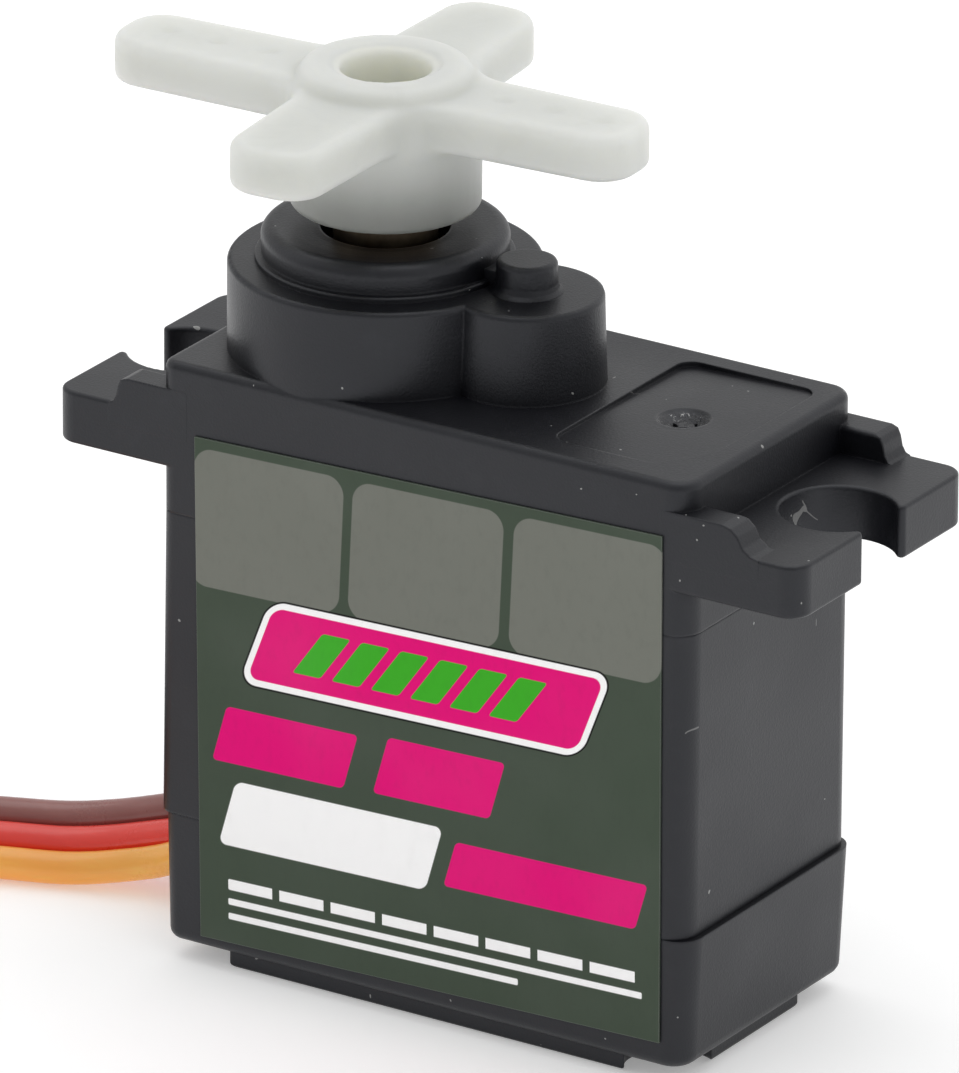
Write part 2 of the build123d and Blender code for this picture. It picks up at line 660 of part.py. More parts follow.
def armature_core():
    core = rod(1.15, CORE_BOTTOM_Z, CORE_TOP_Z, MOTOR_X)
    for direction in POLE_DIRECTIONS:
        neck = Rot(0, 0, direction) * block(0.6, 3.0, -0.45, 0.45, CORE_BOTTOM_Z, CORE_TOP_Z)
        core += Pos(MOTOR_X, 0, 0) * neck
        core += sector(3.50, 2.85, CORE_BOTTOM_Z, CORE_TOP_Z, direction, 50, MOTOR_X)
    return core - rod(SHAFT_HOLE_R, -15, -5, MOTOR_X)


def armature_windings():
    coils = []
    for direction in POLE_DIRECTIONS:
        coil = block(1.32, 2.72, -1.12, 1.12, CORE_BOTTOM_Z - 0.5, CORE_TOP_Z + 0.5)
        coil -= block(0.5, 4.0, -0.48, 0.48, CORE_BOTTOM_Z - 0.03, CORE_TOP_Z + 0.03)
        limit = sector(2.74, 0.30, -15, -6, 0, 52)
        coils.append(Pos(MOTOR_X, 0, 0) * Rot(0, 0, direction) * (coil & limit))
    return group(coils)


def commutator():
    return tube(0.98, SHAFT_HOLE_R, -15.80, -14.60, MOTOR_X)


# ---------------------------------------------------------------------------
# position sensor under the output shaft
# ---------------------------------------------------------------------------
SENSOR_R = 4.35
SENSOR_LEADS_Y = (-2.0, 0.0, 2.0)


def sensor_body():
    body = rod(SENSOR_R, -9.40, -5.02, OUT_X) - rod(3.85, -9.9, -5.60, OUT_X)
    return body - rod(1.12, -6, -4, OUT_X)


def sensor_base():
    return rod(SENSOR_R, -10.10, -9.44, OUT_X) + rod(3.80, -9.50, -9.30, OUT_X)


def sensor_track():
    return sector(3.50, 2.30, -9.28, -9.10, 0, 150, OUT_X)


def sensor_shaft():
    d_bore = rod(0.79, -6.30, -4.0, OUT_X) - block(OUT_X + 0.49, OUT_X + 2, -2, 2, -7, -3)
    return rod(1.06, -9.20, -4.98, OUT_X) - d_bore


def sensor_wiper():
    wiper = tube(1.70, 1.08, -8.90, -8.70, OUT_X)
    wiper += block(OUT_X + 1.3, OUT_X + 3.3, -0.35, 0.35, -8.90, -8.70)
    wiper += block(OUT_X + 2.7, OUT_X + 3.1, -0.35, 0.35, -9.07, -8.75)
    return wiper


def sensor_terminals():
    return group([block(OUT_X - 3.55, OUT_X - 3.35, y - 0.30, y + 0.30, -11.80, -10.12)
                  for y in SENSOR_LEADS_Y])


def sensor_wires():
    wires = []
    for y in SENSOR_LEADS_Y:
        path = Spline([(OUT_X - 3.10, y, -11.70), (OUT_X - 3.0, y, -14.5),
                       (OUT_X - 2.6, y * 0.9, -18.05)],
                      tangents=[(0, 0, -1), (0, 0, -1)])
        wires.append(sweep(Plane(path @ 0, z_dir=path % 0) * Circle(0.24), path))
    return group(wires)


# ---------------------------------------------------------------------------
# circuit board, with its components on the underside
# ---------------------------------------------------------------------------
COMPONENT_TOP_Z = BOARD_BOTTOM_Z - 0.02
CHIP_BOTTOM_Z = -19.75
PASSIVES = [              # (x, y) centres
    (-1.2, -3.4), (-1.2, 3.4), (1.0, 3.6), (2.8, 3.6),
    (1.0, -3.6), (2.8, -3.6), (-3.4, 2.0), (-3.4, -2.0)]


def circuit_board():
    board = block(-8.60, 8.60, -4.90, 4.90, BOARD_BOTTOM_Z, -18.10)
    return fillet(board.edges().filter_by(Axis.Z), 0.3)


def controller_chip():
    chip = block(0.6, 4.2, -1.8, 1.8, CHIP_BOTTOM_Z, COMPONENT_TOP_Z)
    return chamfer(chip.edges().filter_by(at_level(CHIP_BOTTOM_Z)), 0.08)


def drive_transistors():
    return group([block(5.4, 7.4, y - 0.9, y + 0.9, -19.70, COMPONENT_TOP_Z)
                  for y in (-3.0, 3.0)])


def board_passives():
    return group([block(x - 0.5, x + 0.5, y - 0.28, y + 0.28, -19.45, COMPONENT_TOP_Z)
                  for x, y in PASSIVES])


# ---------------------------------------------------------------------------
# cable: three wires side by side, leaving the end wall and coiled on the floor
# ---------------------------------------------------------------------------
# centre line seen from above: ("line", length) or ("arc", radius, turn in degrees);
# a positive radius turns left, a negative one right
LEAD = [("line", 3.6), ("arc", 16.0, 20.0), ("line", 4.0), ("arc", 5.5, 70.0), ("line", 9.5),
        ("arc", -3.2, 180.0), ("line", 7.0)]
LEAD_START = (-8.90, 0.0)
STEP = 1.5
# (length along the cable, tilt of the ribbon from upright in degrees)
LEAN_AT = [(0.0, 90.0), (2.9, 90.0), (6.4, 59.0), (8.3, 61.0), (10.0, 64.0), (12.2, 66.0),
           (14.5, 67.0), (20.0, 90.0)]
# (length along the cable, height of its centre); past the last real height the
# value drops out of reach, so that the floor takes over
SAG_AT = [(0.0, WIRE_EXIT_Z), (3.6, WIRE_EXIT_Z), (4.53, -19.70), (5.46, -19.91),
          (6.39, -20.16), (7.32, -20.42), (8.25, -20.65), (9.19, -20.82), (10.19, -20.95),
          (11.19, -21.02), (13.2, -21.04), (13.3, -99.0)]
WIRE_RINGS = 40
FLOOR_GAP = 0.03
PLUG_PITCH = 2.54
PLUG_LIFT = 0.61          # rise of the wires into the plug
# name and place across the ribbon
WIRES = [("cable_wire_brown", 1), ("cable_wire_red", 0), ("cable_wire_orange", -1)]


def lead_points():
    """Samples along the ribbon centre line: (x, y, heading, length so far)."""
    x, y = LEAD_START
    heading, length = math.pi, 0.0
    samples = [(x, y, heading, length)]
    for kind, size, *rest in LEAD:
        if kind == "line":
            count = max(1, round(size / STEP))
            for _ in range(count):
                x += math.cos(heading) * size / count
                y += math.sin(heading) * size / count
                length += size / count
                samples.append((x, y, heading, length))
        else:
            turn = math.radians(rest[0])
            sign = 1 if size > 0 else -1
            radius = abs(size)
            count = max(2, round(radius * turn / STEP))
            centre_x = x - size * math.sin(heading)
            centre_y = y + size * math.cos(heading)
            for _ in range(count):
                heading += sign * turn / count
                x = centre_x + size * math.sin(heading)
                y = centre_y - size * math.cos(heading)
                length += radius * turn / count
                samples.append((x, y, heading, length))
    return samples


def look_up(table, place, smooth=False):
    """Value between table rows, on straight lines or eased at each row."""
    for (place0, value0), (place1, value1) in zip(table, table[1:]):
        if place <= place1:
            t = (place - place0) / (place1 - place0)
            if smooth:
                t = t * t * (3 - 2 * t)
            return value0 + (value1 - value0) * t
    return table[-1][1]


LEAD_SAMPLES = lead_points()
END_X, END_Y, _, END_LENGTH = LEAD_SAMPLES[-1]
# (length along the cable, share of the spread from ribbon pitch to plug pitch)
SPREAD_AT = [(0, 0), (END_LENGTH - 5.0, 0.0), (END_LENGTH - 1.0, 1.0)]


def cable_wire(place):
    points = []
    for x, y, heading, length in LEAD_SAMPLES:
        lean = math.radians(look_up(LEAN_AT, length, smooth=True))
        floor = PAD_Z + WIRE_R + FLOOR_GAP + WIRE_PITCH * math.cos(lean)
        z = max(floor, look_up(SAG_AT, length))
        spread = look_up(SPREAD_AT, length, smooth=True)
        offset = place * (WIRE_PITCH + (PLUG_PITCH - WIRE_PITCH) * spread)
        points.append((x + offset * math.sin(lean) * math.sin(heading),
                       y - offset * math.sin(lean) * math.cos(heading),
                       z + offset * math.cos(lean) + PLUG_LIFT * spread))
    x, y, z = points[-1]
    points.append((x, y + 1.6, z))                          # straight run into the plug
    path = Spline(points)
    rings = []
    for i in range(WIRE_RINGS + 1):
        run = path % (i / WIRE_RINGS)
        plane = Plane(path @ (i / WIRE_RINGS), x_dir=Vector(0, 0, 1).cross(run), z_dir=run)
        rings.append((plane * Circle(WIRE_R)).face())
    return loft(rings)


# three-way plug and its contacts
PLUG_WIDTH = 7.60
PLUG_LENGTH = 14.00
PLUG_HEIGHT = 2.50
PLUG_Y = END_Y - 0.2      # end where the wires enter
PLUG_Z = PAD_Z + FLOOR_GAP + PLUG_HEIGHT / 2
CONTACTS_X = [END_X + k * PLUG_PITCH for k in (-1, 0, 1)]


def plug_block(x, half_width, y0, y1, z0, z1):
    """Block centred on x, with y and z measured from the plug's wire end and mid height."""
    return block(x - half_width, x + half_width, PLUG_Y + y0, PLUG_Y + y1,
                 PLUG_Z + z0, PLUG_Z + z1)


def plug_housing():
    housing = plug_block(END_X, PLUG_WIDTH / 2, 0, PLUG_LENGTH,
                         -PLUG_HEIGHT / 2, PLUG_HEIGHT / 2)
    housing = fillet(housing.edges().filter_by(Axis.Y), 0.25)
    for x in CONTACTS_X:
        housing -= plug_block(x, 0.95, -1, 6.2, -0.82, 0.82)            # crimp chamber
        housing -= plug_block(x, 0.50, 5.0, PLUG_LENGTH + 1, -0.50, 0.50)
        housing -= plug_block(x, 0.62, 6.9, 9.6, 0, PLUG_HEIGHT)        # latch window
    return housing


def plug_contacts():
    contacts = []
    for x in CONTACTS_X:
        contact = plug_block(x, 0.44, 2.2, 12.6, -0.44, 0.44)
        contact -= plug_block(x, 0.33, 5.4, 13.0, -0.33, 0.33)
        contact += plug_block(x, 0.25, 7.2, 7.9, 0.40, 0.78)
        contacts.append(contact)
    return group(contacts)


# ---------------------------------------------------------------------------
# write the pieces; each file is named after the function that builds it
# ---------------------------------------------------------------------------
PIECES = [
    top_case, middle_case, bottom_cover, case_screws, front_label,
    first_gear, second_gear, third_gear, output_gear, gear_pin, lower_bushing,
    bearing_outer_race, bearing_inner_race, bearing_balls, bearing_cage,
    output_horn, horn_screw,
    motor_can, motor_front_bushing, motor_magnets, motor_end_cap, motor_rear_bushing,
    motor_brushes, motor_terminals, motor_shaft, motor_pinion,
    armature_core, armature_windings, commutator,
    sensor_body, sensor_base, sensor_track, sensor_shaft, sensor_wiper,
    sensor_terminals, sensor_wires,
    circuit_board, controller_chip, drive_transistors, board_passives,
    plug_housing, plug_contacts]

for build in PIECES:
    save(build(), build.__name__)
for wire_name, wire_place in WIRES:
    save(cable_wire(wire_place), wire_name)
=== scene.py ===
"""Small geared servo: moulded case, horn on the output shaft, front label, three-wire cable.

Metres, +Z up. The output shaft is parallel to Z at x = OUTPUT_X, with the horn on top. The
label faces -Y, the front. Every CAD piece gets a procedural material, the horn gets a
softer moulded copy, and the servo stands on a pale floor in a white studio.
"""
import math

import bmesh
import bpy
from mathutils import Matrix, Vector


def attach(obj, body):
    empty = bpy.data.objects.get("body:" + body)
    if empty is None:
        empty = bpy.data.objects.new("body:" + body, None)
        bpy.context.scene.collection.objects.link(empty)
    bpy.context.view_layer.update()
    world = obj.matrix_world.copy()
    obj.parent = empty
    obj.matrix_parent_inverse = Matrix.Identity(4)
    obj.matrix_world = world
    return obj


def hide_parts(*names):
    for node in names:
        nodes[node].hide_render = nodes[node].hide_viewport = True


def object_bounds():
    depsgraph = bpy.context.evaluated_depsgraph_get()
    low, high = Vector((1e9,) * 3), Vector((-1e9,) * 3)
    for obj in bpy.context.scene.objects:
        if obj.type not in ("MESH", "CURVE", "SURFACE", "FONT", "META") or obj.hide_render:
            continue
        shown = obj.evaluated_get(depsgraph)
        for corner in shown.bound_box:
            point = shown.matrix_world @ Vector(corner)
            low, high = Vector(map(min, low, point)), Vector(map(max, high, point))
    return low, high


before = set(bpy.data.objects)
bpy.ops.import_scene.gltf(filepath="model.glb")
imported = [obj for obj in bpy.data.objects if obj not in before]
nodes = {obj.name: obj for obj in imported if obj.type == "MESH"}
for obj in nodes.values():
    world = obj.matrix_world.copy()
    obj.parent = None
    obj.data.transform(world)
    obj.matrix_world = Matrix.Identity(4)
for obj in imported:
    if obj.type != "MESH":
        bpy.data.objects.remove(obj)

cad_lo, cad_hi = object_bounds()
scene = bpy.context.scene

MM = 0.001
OUTPUT_X = -0.0055        # axis of the output shaft, horn and sensor
COMMUTATOR_X = 0.006      # axis of the commutator
FLOOR_GAP = 0.00002       # floor below the lowest CAD point
FLOOR_HALF = 3.0


# --------------------------------------------------------------------------
# shader node helpers
# --------------------------------------------------------------------------
class Nodes:
    """Adds nodes to one tree; any value may be a number, a tuple or a socket."""

    def __init__(self, tree, coordinates):
        self.tree = tree
        self.co = self.node("TexCoord").outputs[coordinates]

    def put(self, socket, value):
        if isinstance(value, bpy.types.NodeSocket):
            self.tree.links.new(value, socket)
        elif isinstance(value, tuple):
            size = len(socket.default_value)
            socket.default_value = (value + (1.0,))[:size]   # alpha 1 where there is one
        else:
            socket.default_value = value

    def node(self, kind, inputs=None, **settings):
        node = self.tree.nodes.new("ShaderNode" + kind)
        for key, value in settings.items():
            setattr(node, key, value)
        for key, value in (inputs or {}).items():
            self.put(node.inputs[key], value)
        return node

    def math(self, operation, *values, clamp=False):
        inputs = dict(enumerate(values))
        return self.node("Math", inputs, operation=operation, use_clamp=clamp).outputs[0]

    def add(self, a, b):
        return self.math("ADD", a, b)

    def sub(self, a, b):
        return self.math("SUBTRACT", a, b)

    def mul(self, a, b):
        return self.math("MULTIPLY", a, b)

    def less(self, value, limit):
        return self.math("LESS_THAN", value, limit)

    def greater(self, value, limit):
        return self.math("GREATER_THAN", value, limit)

    def off_middle(self, value):
        """Distance from the middle of each unit step: 0 in the middle, 0.5 at the ends."""
        return self.math("ABSOLUTE", self.sub(self.math("FRACT", value), 0.5))

    def vmath(self, operation, *vectors):
        node = self.node("VectorMath", dict(enumerate(vectors)), operation=operation)
        gives_number = operation in ("DOT_PRODUCT", "LENGTH", "DISTANCE")
        return node.outputs["Value" if gives_number else 0]

    def band(self, value, lo, hi, amount=None, ends=(0.0, 1.0)):
        """Smooth step between the two ends as value goes lo to hi, times amount if given."""
        inputs = {0: value, 1: lo, 2: hi, 3: ends[0], 4: ends[1]}
        step = self.node("MapRange", inputs, interpolation_type="SMOOTHSTEP").outputs[0]
        return step if amount is None else self.mul(step, amount)

    def lerp(self, factor, start, end):
        inputs = {0: factor, 2: start, 3: end}
        return self.node("Mix", inputs, data_type="FLOAT").outputs[0]


class Look(Nodes):
    """A material with one Principled shader."""

    def __init__(self, name):
        self.mat = bpy.data.materials.new(name)
        self.mat.use_nodes = True
        self.tree = self.mat.node_tree
        self.tree.nodes.clear()
        output = self.node("OutputMaterial")
        self.shader = self.node("BsdfPrincipled")
        self.tree.links.new(self.shader.outputs[0], output.inputs[0])
        self.geometry = None
        super().__init__(self.tree, "Object")

    def finish(self, **inputs):
        for key, value in inputs.items():
            self.put(self.shader.inputs[key.replace("_", " ")], value)
        return self.mat

    def xyz(self, vec=None):
        return self.node("SeparateXYZ", {0: vec or self.co}).outputs

    def stretch(self, *factors):
        return self.vmath("MULTIPLY", self.co, factors)

    def radius(self, axis_x):
        """Distance from the line parallel to Z at x = axis_x."""
        offset = self.vmath("SUBTRACT", self.co, (axis_x, 0, 0))
        return self.vmath("LENGTH", self.vmath("MULTIPLY", offset, (1, 1, 0)))

    def noise(self, scale, detail=3.0, rough=0.55, vec=None, distort=0.0, out="Fac"):
        inputs = {"Vector": vec or self.co, "Scale": scale, "Detail": detail,
                  "Roughness": rough, "Distortion": distort}
        return self.node("TexNoise", inputs).outputs[out]

    def voronoi(self, scale, feature="F1", vec=None, out="Distance"):
        inputs = {"Vector": vec or self.co, "Scale": scale}
        return self.node("TexVoronoi", inputs, feature=feature).outputs[out]

    def specks(self, scale, size, above, channel=0, vec=None):
        """Dots in the cells whose random colour channel is above a limit."""
        cell = self.voronoi(scale, vec=vec)
        pick = self.xyz(self.voronoi(scale, vec=vec, out="Color"))[channel]
        return self.mul(self.less(cell, size), self.greater(pick, above))

    def wave(self, scale, distort, direction):
        inputs = {"Vector": self.co, "Scale": scale, "Distortion": distort, "Detail": 1.0}
        return self.node("TexWave", inputs, bands_direction=direction).outputs["Fac"]

    def mix(self, factor, under, over, mode="MIX"):
        inputs = {0: factor, 6: under, 7: over}
        return self.node("Mix", inputs, data_type="RGBA", blend_type=mode,
                         clamp_factor=True).outputs[2]

    def bevel(self, radius):
        return self.node("Bevel", {0: radius}, samples=6).outputs[0]

    def geo(self, out):
        if self.geometry is None:
            self.geometry = self.node("NewGeometry")
        return self.geometry.outputs[out]

    def edge(self, radius):
        """1 on sharp convex and concave edges, 0 on open faces."""
        facing = self.vmath("DOT_PRODUCT", self.bevel(radius), self.geo("True Normal"))
        return self.band(self.sub(1.0, facing), lo=0.002, hi=0.10)

    def open_air(self, distance):
        return self.node("AmbientOcclusion", {"Distance": distance}, samples=4).outputs["AO"]

    def bump(self, height, strength, dist, normal=None):
        inputs = {"Strength": strength, "Distance": dist, "Height": height}
        if normal is not None:
            inputs["Normal"] = normal
        return self.node("Bump", inputs).outputs[0]


def scaled(colour, gain, lift=0.0):
    return tuple(min(1.0, c * gain + lift) for c in colour)


def ink(hexcode):
    """Pigment that shows as this sRGB colour under the soft white light."""
    sheen, reflected = 0.028, 0.93
    pigment = []
    for i in (0, 2, 4):
        c = int(hexcode[i:i + 2], 16) / 255
        linear = c / 12.92 if c <= 0.04045 else ((c + 0.055) / 1.055) ** 2.4
        pigment.append(max(0.0, (linear - sheen) / reflected))
    return tuple(pigment)


# --------------------------------------------------------------------------
# plastics and metals
# --------------------------------------------------------------------------
def dust_mask(m, dust):
    """Round specks, short hairs and a few long thin lines."""
    swirl = m.noise(scale=700, detail=2, out="Color")
    drift = m.node("VectorMath", {0: swirl, "Scale": 0.0009}, operation="SCALE")
    warp = m.vmath("ADD", m.co, drift.outputs[0])
    above = 1.0 - 0.60 * dust
    speck = m.specks(scale=1000, size=0.045, above=above, vec=warp)
    for scale, squeeze in ((620, (0.28, 1.0, 1.0)), (560, (1.0, 0.5, 0.3))):
        long = m.vmath("MULTIPLY", warp, squeeze)
        hair = m.specks(scale=scale, size=0.040, above=above, channel=1, vec=long)
        speck = m.math("MAXIMUM", speck, hair)
    line = m.less(m.voronoi(scale=150, feature="DISTANCE_TO_EDGE", vec=warp), 0.0036)
    line = m.mul(line, m.greater(m.noise(scale=420, detail=1), 0.700))
    line_strength, speck_strength = 0.22, 0.42
    line = m.mul(line, line_strength)
    return m.math("MAXIMUM", m.mul(speck, speck_strength), line, clamp=True)


def plastic(name, base, rough=0.42, round_mm=0.10, grain=1.0, dust=0.0, wear=0.25, gate=None,
            spec=(1, 1, 1)):
    """Moulded plastic: eroded grain, slow shade changes, rubbed edges and dull corners.

    dust is the amount of dust, gate the centre of a torn moulding mark whose pale peaks are
    painted glints.
    """
    m = Look(name)
    slow = m.noise(scale=120, detail=2)
    mid = m.noise(scale=900)
    fine = m.noise(scale=13000, detail=2, rough=0.6)
    pits = m.voronoi(scale=9000)
    tint = scaled(base, gain=1.5, lift=0.003)
    col = m.mix(m.band(slow, lo=0.32, hi=0.72), scaled(base, gain=0.80), base)
    col = m.mix(m.band(mid, lo=0.50, hi=0.78, amount=0.45), col, tint)
    col = m.mix(m.band(fine, lo=0.45, hi=0.75, amount=0.25), col, tint)

    # open air around a point tells an outer edge from a corner
    air = m.open_air(distance=0.0007)
    convex = m.mul(m.edge(round_mm * MM), m.band(air, lo=0.72, hi=0.95))
    rubbed = m.mul(m.mul(convex, m.band(mid, lo=0.35, hi=0.65)), wear)
    col = m.mix(rubbed, col, scaled(base, gain=2.6, lift=0.012))
    r = m.lerp(m.band(slow, lo=0.3, hi=0.7), rough - 0.04, rough + 0.05)
    grain_rough, edge_gloss = 0.18, 0.08
    r = m.add(r, m.mul(m.sub(fine, 0.5), grain_rough))
    r = m.sub(r, m.mul(convex, edge_gloss))

    if dust > 0:
        dust_colour, dust_rough = (0.66, 0.66, 0.64), 0.3
        dusty = dust_mask(m, dust)
        col = m.mix(dusty, col, dust_colour)
        r = m.add(r, m.mul(dusty, dust_rough))

    fine_height, pit_height, mid_height = 0.55, 0.40, 0.14
    height = m.add(m.mul(fine, fine_height), m.mul(pits, pit_height))
    height = m.add(height, m.mul(mid, mid_height))
    if gate:
        torn_height, torn_gloss, torn_glint_colour = 9.0, 0.26, (0.55, 0.55, 0.54)
        near = m.band(m.vmath("DISTANCE", m.co, gate), lo=0.00125, hi=0.00085)
        torn = m.noise(scale=3600, detail=4, rough=0.7, distort=1.2)
        height = m.add(height, m.mul(m.mul(near, torn), torn_height))
        r = m.sub(r, m.mul(near, torn_gloss))
        # torn gate mark: its bumps and gloss are real relief; its pale grey peaks are painted
        # glints
        col = m.mix(m.mul(near, m.band(torn, lo=0.60, hi=0.68)), col, torn_glint_colour)

    shade = m.band(air, lo=0.80, hi=0.60)
    rounded = m.mix(shade, m.bevel(round_mm * MM), m.geo("Normal"))
    normal = m.bump(height, strength=0.26 * grain, dist=0.00004, normal=rounded)
    return m.finish(Base_Color=col, Roughness=r, Normal=normal, IOR=1.5, Specular_Tint=spec,
                    Specular_IOR_Level=m.lerp(shade, start=0.5, end=0.28))


def metal(name, base, rough=0.3, brush=(1, 1, 1), streak=1500, tarnish=None, spots=0.3,
          metallic=1.0):
    """Metal with tool marks stretched by brush, tarnish patches and bright rubbed edges."""
    edge_radius = 0.06 * MM
    m = Look(name)
    lines = m.noise(scale=streak, detail=4, rough=0.65, vec=m.stretch(*brush))
    patch = m.noise(scale=420, detail=4, rough=0.6)
    tarnish = tarnish or scaled(base, gain=0.55)
    col = m.mix(m.band(patch, lo=0.45, hi=0.75, amount=spots), base, tarnish)
    col = m.mix(m.band(lines, lo=0.35, hi=0.8, amount=0.25), col, scaled(base, gain=0.75))
    edge_wear, line_rough = 0.5, 0.22
    col = m.mix(m.mul(m.edge(edge_radius), edge_wear), col,
                scaled(base, gain=1.25, lift=0.05))
    r = m.add(m.lerp(patch, rough - 0.08, rough + 0.12), m.mul(m.sub(lines, 0.5), line_rough))
    normal = m.bump(lines, strength=0.22, dist=0.00003, normal=m.bevel(edge_radius))
    return m.finish(Base_Color=col, Roughness=r, Metallic=metallic, Normal=normal)


case_mat = plastic("case_plastic_look", (0.0048, 0.0050, 0.0070), rough=0.40, round_mm=0.14,
                   dust=0.8, wear=0.5, gate=(0.0078, -0.0001, 0.0017), spec=(0.92, 0.94, 1.0))
plug_mat = plastic("plug_plastic_look", (0.010, 0.010, 0.012), rough=0.40, grain=0.7, dust=0.4)
sensor_mat = plastic("sensor_look", (0.06, 0.07, 0.09), rough=0.5, round_mm=0.06)
cap_mat = plastic("end_cap_look", (0.72, 0.71, 0.64), rough=0.45, round_mm=0.06)
shaft_nylon_mat = plastic("sensor_shaft_look", (0.78, 0.77, 0.70), round_mm=0.05)
chip_mat = plastic("chip_look", (0.018, 0.018, 0.020), rough=0.55, round_mm=0.04, grain=1.4)
carbon_mat = plastic("carbon_look", (0.03, 0.03, 0.03), rough=0.6, round_mm=0.03, grain=1.6)
ceramic_mat = plastic("passive_look", (0.42, 0.31, 0.19), rough=0.4, round_mm=0.03)
magnet_mat = plastic("ferrite_look", (0.05, 0.05, 0.052), rough=0.55, round_mm=0.05, grain=1.8)
inner_wire_mat = plastic("inner_wire_look", (0.10, 0.28, 0.10), rough=0.35, round_mm=0.03,
                         grain=0.5)

steel_bright = metal("bright_steel_look", (0.62, 0.62, 0.64), rough=0.28)
steel_black = metal("black_screw_look", (0.055, 0.055, 0.060), rough=0.34, metallic=0.9)
steel_ground = metal("ground_steel_look", (0.66, 0.66, 0.68), rough=0.22, brush=(1, 1, 0.05),
                     streak=4000)
steel_gear = metal("steel_gear_look", (0.50, 0.50, 0.52), rough=0.34)
# dark brass output gear and dark inner race: the parts seen in the dark gap under the horn hub
dark_output_gear = metal("dark_output_gear_look", (0.30, 0.24, 0.17), tarnish=(0.10, 0.065, 0.035),
                   spots=0.7)
dark_inner_race = metal("dark_inner_race_look", (0.12, 0.10, 0.085), rough=0.24, brush=(0.3, 0.3, 4),
                   streak=2500, tarnish=(0.05, 0.035, 0.02))
steel_can = metal("motor_can_look", (0.58, 0.58, 0.60), brush=(1, 1, 0.08), streak=2500)
steel_race = metal("race_look", (0.74, 0.74, 0.76), rough=0.16, brush=(0.3, 0.3, 4),
                   streak=2500)
steel_core = metal("lamination_look", (0.36, 0.36, 0.38), rough=0.42, brush=(0.1, 0.1, 6),
                   streak=2500)
brass_gear = metal("brass_gear_look", (0.76, 0.56, 0.24), tarnish=(0.42, 0.27, 0.10))
bronze = metal("bronze_look", (0.58, 0.38, 0.18), rough=0.42, tarnish=(0.28, 0.16, 0.07),
               spots=0.6)
gold = metal("contact_look", (0.86, 0.64, 0.26), rough=0.24, tarnish=(0.55, 0.36, 0.12))


# --------------------------------------------------------------------------
# materials for single pieces
# --------------------------------------------------------------------------
def winding_look():
    """Lacquered copper turns stacked along Z."""
    groove, copper, stain = (0.16, 0.045, 0.015), (0.66, 0.27, 0.09), (0.30, 0.10, 0.03)
    m = Look("winding_look")
    turns = m.wave(scale=5200, distort=0.6, direction="Z")
    patch = m.noise(scale=600)
    col = m.mix(turns, groove, copper)
    col = m.mix(m.band(patch, lo=0.5, hi=0.8, amount=0.3), col, stain)
    return m.finish(Base_Color=col, Metallic=0.85,
                    Roughness=m.lerp(patch, start=0.24, end=0.42),
                    Normal=m.bump(turns, strength=0.7, dist=0.00008),
                    Coat_Weight=0.6, Coat_Roughness=0.15)


def commutator_look():
    """Copper segments parted by dark slots."""
    segments, slot_half = 3, 0.05      # half slot as a share of one segment
    light, dark, gap = (0.72, 0.36, 0.17), (0.55, 0.24, 0.10), (0.03, 0.02, 0.02)
    m = Look("commutator_look")
    x, y, _ = m.xyz(m.vmath("SUBTRACT", m.co, (COMMUTATOR_X, 0.0, 0.0)))
    turn = m.math("DIVIDE", m.math("ARCTAN2", y, x), 2 * math.pi / segments)
    slot = m.less(m.off_middle(turn), slot_half)
    patch = m.noise(scale=900)
    col = m.mix(slot, m.mix(patch, light, dark), gap)
    return m.finish(Base_Color=col, Metallic=m.sub(1.0, slot),
                    Roughness=m.lerp(patch, start=0.2, end=0.4),
                    Normal=m.bump(m.sub(patch, slot), strength=0.4, dist=0.00004,
                                  normal=m.bevel(0.00005)))


def board_look():
    """Green board: fine weave, tracks on a square grid and a gold via in some cells."""
    pitch = 0.0009
    track_half, via_radius = 0.16, 0.20                # in pitches
    via_above = 0.82                                   # random level that earns a via
    weave_low, weave_high = (0.006, 0.060, 0.026), (0.010, 0.085, 0.038)
    track_colour, via_colour = (0.022, 0.150, 0.062), (0.72, 0.55, 0.22)
    m = Look("circuit_board_look")
    x, y, _ = m.xyz()
    weave = m.mul(m.wave(scale=1500, distort=0.2, direction="X"),
                  m.wave(scale=1500, distort=0.2, direction="Y"))
    cell = m.vmath("SNAP", m.co, (pitch, pitch, 0.01))
    chance = m.node("TexWhiteNoise", {"Vector": cell}).outputs[0]
    across_x = m.off_middle(m.math("DIVIDE", x, pitch))
    across_y = m.off_middle(m.math("DIVIDE", y, pitch))
    runs_x = m.greater(chance, 0.5)
    track = m.less(m.lerp(runs_x, across_x, across_y), track_half)
    squares = m.add(m.math("POWER", across_x, 2.0), m.math("POWER", across_y, 2.0))
    via = m.less(m.math("SQRT", squares), via_radius)
    via = m.mul(via, m.greater(chance, via_above))
    col = m.mix(weave, weave_low, weave_high)
    col = m.mix(track, col, track_colour)
    col = m.mix(via, col, via_colour)
    return m.finish(Base_Color=col, Metallic=via,
                    Roughness=m.lerp(m.noise(scale=500), start=0.22, end=0.38),
                    Normal=m.bump(m.add(track, via), strength=0.35, dist=0.00003,
                                  normal=m.bevel(0.00005)),
                    Coat_Weight=0.4, Coat_Roughness=0.12)


def track_look():
    """Black sensor track with a ring worn grey."""
    ring_radius, ring_half = 0.0029, 0.0002
    low, high, worn_colour = (0.012, 0.012, 0.012), (0.03, 0.03, 0.03), (0.10, 0.10, 0.10)
    worn_strength = 0.6
    m = Look("sensor_track_look")
    off_ring = m.math("ABSOLUTE", m.sub(m.radius(OUTPUT_X), ring_radius))
    worn = m.band(off_ring, lo=ring_half, hi=0.0)
    patch = m.noise(scale=1500, detail=4)
    col = m.mix(m.mul(worn, worn_strength), m.mix(patch, low, high), worn_colour)
    return m.finish(Base_Color=col, Roughness=m.lerp(worn, start=0.5, end=0.25),
                    Normal=m.bump(patch, strength=0.3, dist=0.00002))


